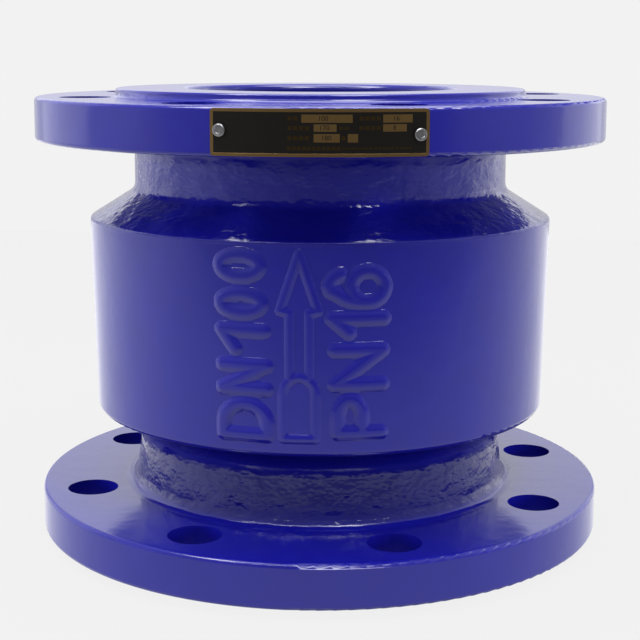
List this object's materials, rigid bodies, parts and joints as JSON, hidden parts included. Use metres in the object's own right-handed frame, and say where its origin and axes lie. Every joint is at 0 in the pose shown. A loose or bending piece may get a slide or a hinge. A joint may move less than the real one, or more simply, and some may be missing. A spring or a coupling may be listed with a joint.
{
  "type": "non-return valve",
  "caption": "Flanged axial disc check valve in a one-piece cast body: a spring closes a stem-guided disc on the inlet seat, and flow lifts it.",
  "frame": {"origin": "centre of the inlet's raised face, at the bottom of the valve", "axes": "+Z along the flow, from the inlet flange at the bottom to the outlet flange at the top; -Y towards the front, where the cast marks and the nameplate are; bolt holes straddle X and Y"},
  "size_m": [0.216, 0.2165, 0.17],
  "materials": {
    "blue_enamel": "gloss enamel over sand-cast iron",
    "seat_stainless": "cast and turned stainless steel",
    "disc_stainless": "turned stainless steel",
    "stem_steel": "ground stainless steel",
    "guide_bronze": "turned bronze",
    "spring_steel": "drawn stainless spring wire",
    "screw_steel": "plain stainless fasteners",
    "ring_steel": "phosphated spring steel",
    "seal_rubber": "black moulded rubber",
    "plate_brass": "etched brass with black filling",
    "rivet_steel": "bright rivets"
  },
  "bodies": {
    "body": {"valve_body": "blue_enamel", "seat_ring": "seat_stainless", "inlet_guide_spider": "seat_stainless", "seat_o_ring": "seal_rubber", "seat_ring_screws": "screw_steel", "lower_guide_bush": "guide_bronze", "lower_retaining_ring": "ring_steel", "upper_guide_bush": "guide_bronze", "upper_retaining_ring": "ring_steel", "upper_spring_seat": "disc_stainless", "closing_spring": "spring_steel", "nameplate": "plate_brass", "nameplate_rivets": "rivet_steel"},
    "disc_assembly": {"stem": "stem_steel", "valve_disc": "disc_stainless", "disc_seal_ring": "seal_rubber", "seal_retainer": "disc_stainless", "seal_retainer_screws": "screw_steel", "lower_spring_seat": "disc_stainless", "stem_lock_washer": "screw_steel", "stem_nut": "screw_steel", "lift_stop_sleeve": "guide_bronze"}
  },
  "joints": [
    {"name": "disc_lift", "type": "slide", "parent": "body", "child": "disc_assembly", "axis": [0, 0, 1], "range_m": [0, 0.024], "stiffness_N_per_m": 420, "springref_m": -0.04, "deforming": ["closing_spring"]}
  ]
}
